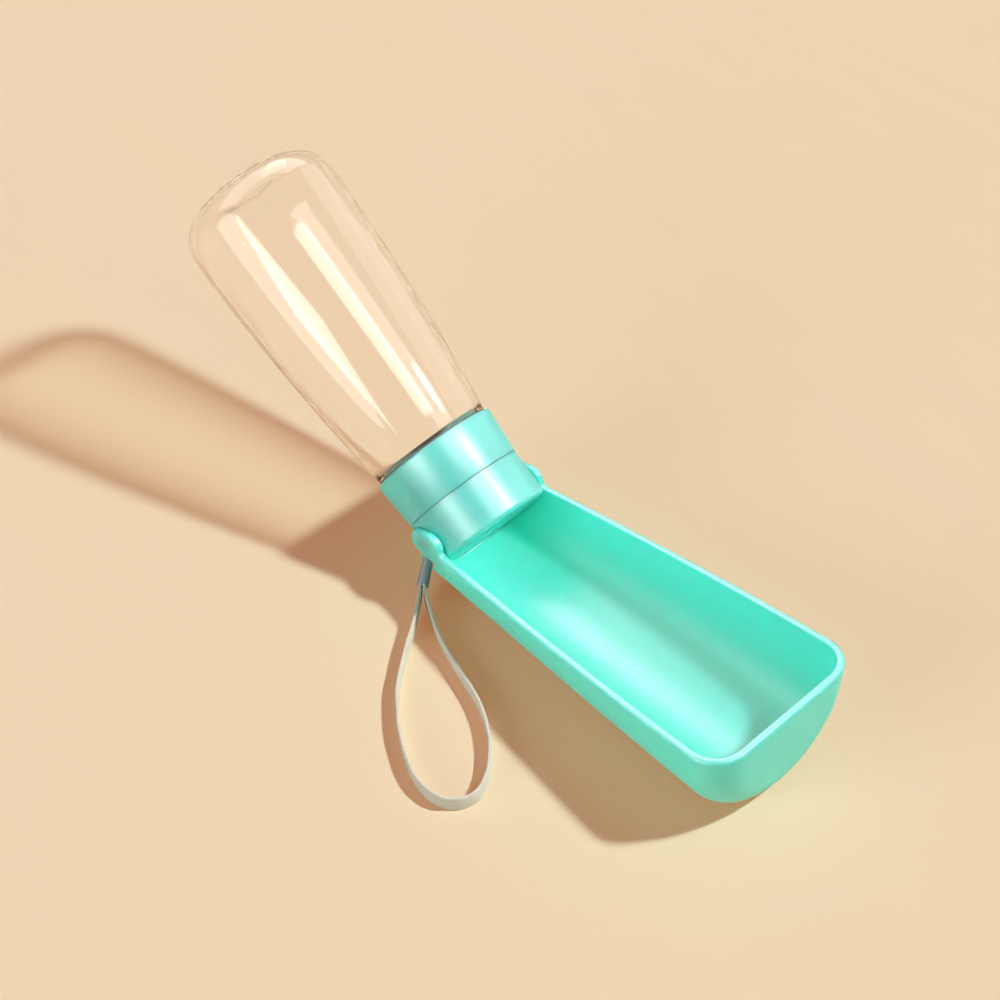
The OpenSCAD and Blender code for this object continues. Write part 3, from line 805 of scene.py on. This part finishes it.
    def build(self) -> None:
        """Makes the tray in place of its plain solid."""
        ball, pocket, *rest = self.cuts()
        cut = "DIFFERENCE"
        bm = combine(self.shell(), [(pocket, cut), (self.ear(1), "UNION"), (self.ear(-1), "UNION"),
                                    (ball, cut), *((tool, cut) for tool in rest)])
        obj = finish_piece(bm, "tray_moulding", MINT, Body.TRAY, LAYOUT.tray_frame(), 32)
        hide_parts("tray")


# --- Collar -------------------------------------------------------------------------------------


@dataclass
class ScrewCollar:
    """The collar that the bottle screws into, with softened edges, in millimetres."""

    low_z: float = 8.7
    end_z: float = 29.0
    low_r: float = 26.0
    top_r: float = 27.4
    bore_r: float = 24.75
    flange_z: float = 10.6
    flange_top: float = 12.1
    flange_r: float = 18.0
    spigot_r: float = 24.05
    soft: float = 0.9
    low_soft: float = 0.2
    bore_soft: float = 0.25
    flange_soft: float = 0.3
    spigot_soft: float = 0.15
    steps: int = 192

    def build(self) -> None:
        """Makes the collar in place of its plain solid."""
        corners = [(self.low_r, self.low_z, self.low_soft), (self.top_r, self.end_z, self.soft),
                   (self.bore_r, self.end_z, self.bore_soft), (self.bore_r, self.flange_top, 0),
                   (self.flange_r, self.flange_top, self.flange_soft),
                   (self.flange_r, self.flange_z, self.flange_soft),
                   (self.spigot_r, self.flange_z, 0), (self.spigot_r, self.low_z, self.spigot_soft)]
        bm = spin_outline(round_corners(corners), self.steps)
        obj = finish_piece(bm, "collar_ring", MINT, Body.HEAD, LAYOUT.bottle_frame(), 50)
        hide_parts("collar")


@dataclass
class NeckSeal:
    """The soft ring that the bottle's shoulder presses on the collar, in millimetres."""

    bottom: float = 29.02
    top: float = 29.55
    bore_r: float = 24.55
    outer_r: float = 25.95
    edge: float = 0.1
    outer_edge: float = 0.2
    steps: int = 160

    def build(self) -> None:
        """Makes the ring in place of its plain solid."""
        corners = [(self.outer_r, self.bottom, self.edge), (self.outer_r, self.top, self.outer_edge),
                   (self.bore_r, self.top, self.edge), (self.bore_r, self.bottom, self.edge)]
        bm = spin_outline(round_corners(corners, 3), self.steps)
        obj = finish_piece(bm, "gasket_ring", GASKET, Body.BOTTLE, LAYOUT.bottle_frame(), 50)
        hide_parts("neck_gasket")


# --- Bottle -------------------------------------------------------------------------------------


@dataclass
class ClearBottle:
    """The clear bottle: a thin tapered wall with a rounded foot, in millimetres."""

    neck_r: float = 24.4
    neck_end: float = 13.25
    body_z: float = 29.6
    length: float = 131.1
    shoulder_r: float = 25.8
    belly_r: float = 32.1
    foot_r: float = 34.1
    foot_round: float = 14.0
    wall: float = 1.4
    dome: float = 3.0
    lip_edge: float = 0.3
    rim_inset: float = 1.0
    side_rows: int = 40
    round_rows: int = 16
    dome_rows: int = 24
    steps: int = 160

    def radius(self, z: float) -> float:
        """Outer radius at station z."""
        u = (z - self.body_z) / self.length
        return (self.shoulder_r * (1 - u) * (1 - 2 * u) + 4 * self.belly_r * u * (1 - u)
                + self.foot_r * u * (2 * u - 1))

    def skin(self, inset: float) -> list:
        """Outline of one skin, from the shoulder to the axis.

        Args:
            inset: How far it lies inside the outer skin.

        Returns:
            (radius, height) points.
        """
        foot_z = self.body_z + self.length
        stop = foot_z - self.foot_round
        start, run = self.body_z + inset, stop - self.body_z - inset
        heights = [start + run * i / self.side_rows for i in range(self.side_rows + 1)]
        points = [(self.radius(z) - inset, z) for z in heights]
        centre, r = self.radius(stop) - self.foot_round, self.foot_round - inset
        for i in range(1, self.round_rows + 1):
            t = math.pi / 2 * i / self.round_rows
            points.append((centre + r * math.cos(t), stop + r * math.sin(t)))
        rim = centre - self.rim_inset
        for i in range(self.dome_rows + 1):
            u = i / self.dome_rows
            points.append((rim * (1 - u), foot_z - inset - self.dome * (1 - math.cos(math.pi * u)) / 2))
        return points

    def build(self) -> None:
        """Makes the bottle in place of its plain solid."""
        neck, bore, edge = self.neck_r, self.neck_r - self.wall, self.lip_edge
        low, up = self.neck_end, self.neck_end + edge
        outer = [(neck - edge, low), (neck, up), (neck, self.body_z), *self.skin(0)]
        inner = [(bore + edge, low), (bore, up), (bore, self.body_z), *self.skin(self.wall)]
        bm = spin_outline([(max(r, 0), z) for r, z in outer + inner[::-1]], self.steps)
        obj = finish_piece(bm, "bottle_clear", CLEAR, Body.BOTTLE, LAYOUT.bottle_frame(), 60)
        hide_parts("bottle")


# --- Strap --------------------------------------------------------------------------------------


def spline(points: Sequence[Vector], parts: int) -> list:
    """Points on a smooth curve through the given ones.

    Args:
        points: The points that the curve passes.
        parts: Number of pieces between two of them.

    Returns:
        The points of the curve.
    """
    ends = [points[0] * 2 - points[1], *points, points[-1] * 2 - points[-2]]
    out = []
    for a, b, c, d in zip(ends, ends[1:], ends[2:], ends[3:]):
        for k in range(parts):
            t = k / parts
            out.append(0.5 * (2 * b + (c - a) * t + (2 * a - 5 * b + 4 * c - d) * t ** 2
                              + (3 * b - a - 3 * c + d) * t ** 3))
    out.append(points[-1].copy())
    return out


@dataclass
class WristStrap:
    """The flat wrist strap: one loop of webbing on edge, from the ferrule out and back, in millimetres."""

    width: float = 7.0
    thickness: float = 1.2
    leg_gap: float = 0.8
    press: float = 0.05
    ferrule_top: tuple = (-4.5, -22.9, 14.1)
    ferrule_end: tuple = (0.5, -31.1, 7.5)
    route: tuple = (
        (2.2, -33.9, 6.5), (6, -38.4, 5.5), (12, -46, 4.5), (19, -56, 4), (25.5, -64.5, 3.6),
        (32, -72, 3.6), (39.5, -78.5, 3.6), (47.5, -84.5, 3.6), (57, -90, 3.6), (66, -94, 3.6),
        (74, -95.6, 3.6), (80.5, -95, 3.6), (85.5, -92.4, 3.6), (88.6, -88, 3.6), (89.2, -82.4, 3.6),
        (86.4, -75.8, 3.6), (81.4, -69.4, 3.6), (75, -63.4, 3.6), (66.4, -57.6, 3.6), (56.6, -53, 3.6),
        (46, -49.8, 3.6), (35, -46.6, 3.6), (24.6, -43, 4), (15, -38.6, 4.8), (8.4, -35.2, 5.8),
        (4.4, -33, 6.6))
    section: tuple = (
        (0.5, -0.4), (0.52, -0.2), (0.54, 0), (0.52, 0.2), (0.5, 0.4), (0.36, 0.485), (0, 0.5),
        (-0.36, 0.485), (-0.5, 0.4), (-0.52, 0.2), (-0.54, 0), (-0.52, -0.2), (-0.5, -0.4),
        (-0.36, -0.485), (0, -0.5), (0.36, -0.485))
    parts: int = 10

    def path(self) -> tuple:
        """Lays the webbing's centre line.

        Returns:
            Its points and the way that it leaves the ferrule, in the row frame in metres.
        """
        top, end = Vector(self.ferrule_top), Vector(self.ferrule_end)
        way = (end - top).normalized()
        side = way.cross(UP).normalized()
        leave = end + way * self.press
        points = [leave + side * self.leg_gap, *(Vector(p) for p in self.route), leave - side * self.leg_gap]
        place = LAYOUT.tray_frame()
        return [place @ (p * MM) for p in spline(points, self.parts)], way

    def build(self) -> None:
        path, way = self.path()
        w, t = self.width * MM, self.thickness * MM
        bm = bmesh.new()
        run = bm.verts.layers.float_vector.new("run")
        length, rings = 0.0, []
        for i, p in enumerate(path):
            a, b = path[max(i - 1, 0)], path[min(i + 1, len(path) - 1)]
            along = (b - a).normalized()
            if i in (0, len(path) - 1):
                along = way if i == 0 else -way
            if i:
                length += (p - path[i - 1]).length
            side = along.cross(UP).normalized()
            up = side.cross(along)
            ring = []
            for sx, sy in self.section:
                v = bm.verts.new(p + side * (sx * t) + up * (sy * w))
                v[run] = (length / MM, sy * self.width, 0)
                ring.append(v)
            rings.append([bm.edges.new((ring[k], ring[(k + 1) % len(ring)])) for k in range(len(ring))])
        for a, b in zip(rings, rings[1:]):
            bmesh.ops.bridge_loops(bm, edges=a + b)
        bmesh.ops.holes_fill(bm, edges=rings[0] + rings[-1], sides=0)
        uv = bm.loops.layers.uv.new("run")
        for face in bm.faces:
            for loop in face.loops:
                loop[uv].uv = loop.vert[run].xy
        obj = finish_piece(bm, "wrist_strap", WEBBING, Body.HEAD, Matrix.Identity(4), 50)
        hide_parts("strap_loop")
        LOG.info("strap length %.1f mm", length / MM)


# --- Studio -------------------------------------------------------------------------------------


@dataclass
class Studio:
    """Floor, light and camera, in metres."""

    floor_lit: tuple = (0.863, 0.665, 0.456)
    floor_base: tuple = (0.58, 0.62, 0.456)
    camera_at: tuple = (0.39503, -0.34664, 0.57242)
    look: tuple = (-0.52461, 0.46780, -0.71130)
    up: tuple = (-0.50666, 0.49988, 0.70243)
    lens: float = 67.739
    sensor: float = 36.0
    near_clip: float = 0.01
    floor_half: float = 4.0
    lamps: tuple = (("key", (0.5501, 0.4310, 0.8393), 33.9, 0.038), ("fill", (-0.1, -1.1, 0.42), 11.5, 0.35))
    sky: float = 0.17
    sky_color: tuple = (1.0, 0.96, 0.86)
    panels: tuple = (
        ((0.45, 0.02, 0.95), (-0.06, 0.0, 0.08), (0.38, 0.38), 6.0),
        ((0.10, -0.80, 0.50), (-0.12, 0.0, 0.11), (0.30, 0.36), 4.5),
        ((-0.55, 0.65, 0.91), (0.05, 0.0, 0.0), (0.9, 0.9), 12.0),
        ((-0.62, -0.05, 0.85), (0.06, 0.0, 0.01), (1.6, 0.7), 14.0),
        ((0.15, 1.0, 0.42), (-0.03, 0.0, 0.04), (1.0, 0.8), 5.5))

    def camera(self) -> None:
        """Sets the camera at the photograph's angle."""
        look, up = Vector(self.look).normalized(), Vector(self.up)
        right = look.cross(up).normalized()
        up = right.cross(look)
        data = bpy.data.cameras.new("camera")
        data.lens, data.sensor_width, data.clip_start = self.lens, self.sensor, self.near_clip
        cam = add_object("camera", data)
        cam.matrix_world = Matrix((right, up, -look)).transposed().to_4x4()
        cam.matrix_world.translation = self.camera_at
        bpy.context.scene.camera = cam

    def floor(self) -> None:
        """Lays the plain pale floor."""
        bm = bmesh.new()
        bmesh.ops.create_grid(bm, x_segments=1, y_segments=1, size=self.floor_half)
        mesh = take_mesh(bm, "floor")
        mesh.materials.append(FloorPaper("floor_paper", self.floor_lit, self.floor_base).material())
        obj = add_object("floor", mesh)

    def lamp(self, name: str, at: tuple, strength: float, radius: float) -> None:
        """Hangs a round lamp that lights the whole floor to the same level.

        Args:
            name: The lamp's name.
            at: Its place.
            strength: Its power in watts.
            radius: Its radius, which softens its shadows.
        """
        lamp = bpy.data.lights.new(name, "POINT")
        lamp.energy, lamp.shadow_soft_size = strength, radius
        lamp.use_nodes = True
        n = Nodes(lamp.node_tree)
        fall = n.add("ShaderNodeLightFalloff", Strength=1.0).outputs["Constant"]
        reach = n.add("ShaderNodeLightPath").outputs["Ray Length"]
        glow = n.add("ShaderNodeEmission", Strength=n.math("MULTIPLY", fall, reach))
        n.link(glow.outputs[0], n.tree.nodes["Light Output"].inputs["Surface"])
        add_object(name, lamp).location = at

    def panel(self, at: tuple, aim: tuple, size: tuple, strength: float, index: int) -> None:
        """Hangs one soft panel that only shows in glossy reflections.

        Args:
            at: Centre of the panel.
            aim: Point that it faces.
            size: Its width and height.
            strength: Its power in watts.
            index: Its number.
        """
        lamp = bpy.data.lights.new(f"panel_{index}", "AREA")
        lamp.shape, lamp.size, lamp.size_y, lamp.energy = "RECTANGLE", size[0], size[1], strength
        obj = add_object(lamp.name, lamp)
        way = (Vector(aim) - Vector(at)).normalized()
        obj.matrix_world = Matrix.Translation(at) @ way.to_track_quat("-Z", "Y").to_matrix().to_4x4()
        obj.visible_camera = obj.visible_diffuse = obj.visible_transmission = False

    def lights(self) -> None:
        """Hangs the lamps and fills with the world, which the camera sees as pale as the floor."""
        for name, at, strength, radius in self.lamps:
            self.lamp(name, at, strength, radius)
        for index, (at, aim, size, strength) in enumerate(self.panels):
            self.panel(at, aim, size, strength, index)
        world = bpy.data.worlds.new("world")
        world.use_nodes = True
        bpy.context.scene.world = world
        back = world.node_tree.nodes["Background"]
        back.inputs["Color"].default_value = (*self.sky_color, 1)
        back.inputs["Strength"].default_value = self.sky
        n = Nodes(world.node_tree)
        path = n.add("ShaderNodeLightPath")
        seen = n.math("MAXIMUM", path.outputs["Is Camera Ray"], path.outputs["Is Transmission Ray"])
        pale = n.add("ShaderNodeBackground", Color=(*self.floor_lit, 1))
        mix = n.add("ShaderNodeMixShader", in0=seen, in1=back.outputs[0], in2=pale.outputs[0])
        n.link(mix.outputs[0], n.tree.nodes["World Output"].inputs["Surface"])

    def build(self) -> None:
        """Sets up camera, floor and light."""
        self.camera()
        self.floor()
        self.lights()
        bpy.context.scene.view_settings.view_transform = "Standard"


def dress_nodes(nodes: dict) -> None:
    """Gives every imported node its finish.

    Args:
        nodes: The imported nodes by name.
    """
    for name, obj in nodes.items():
        material = NODE_FINISH[name].material()
        if not obj.material_slots:
            obj.data.materials.append(material)
        for slot in obj.material_slots:
            slot.material = material


def main() -> None:
    """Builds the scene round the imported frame."""
    logging.basicConfig(level=logging.INFO, format="%(name)s: %(message)s")
    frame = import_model()
    Studio().build()
    WristStrap().build()
    ClearBottle().build()
    ScrewCollar().build()
    NeckSeal().build()
    DrinkingTray().build()
    dress_nodes(frame["nodes"])


if __name__ == "__main__":
    main()
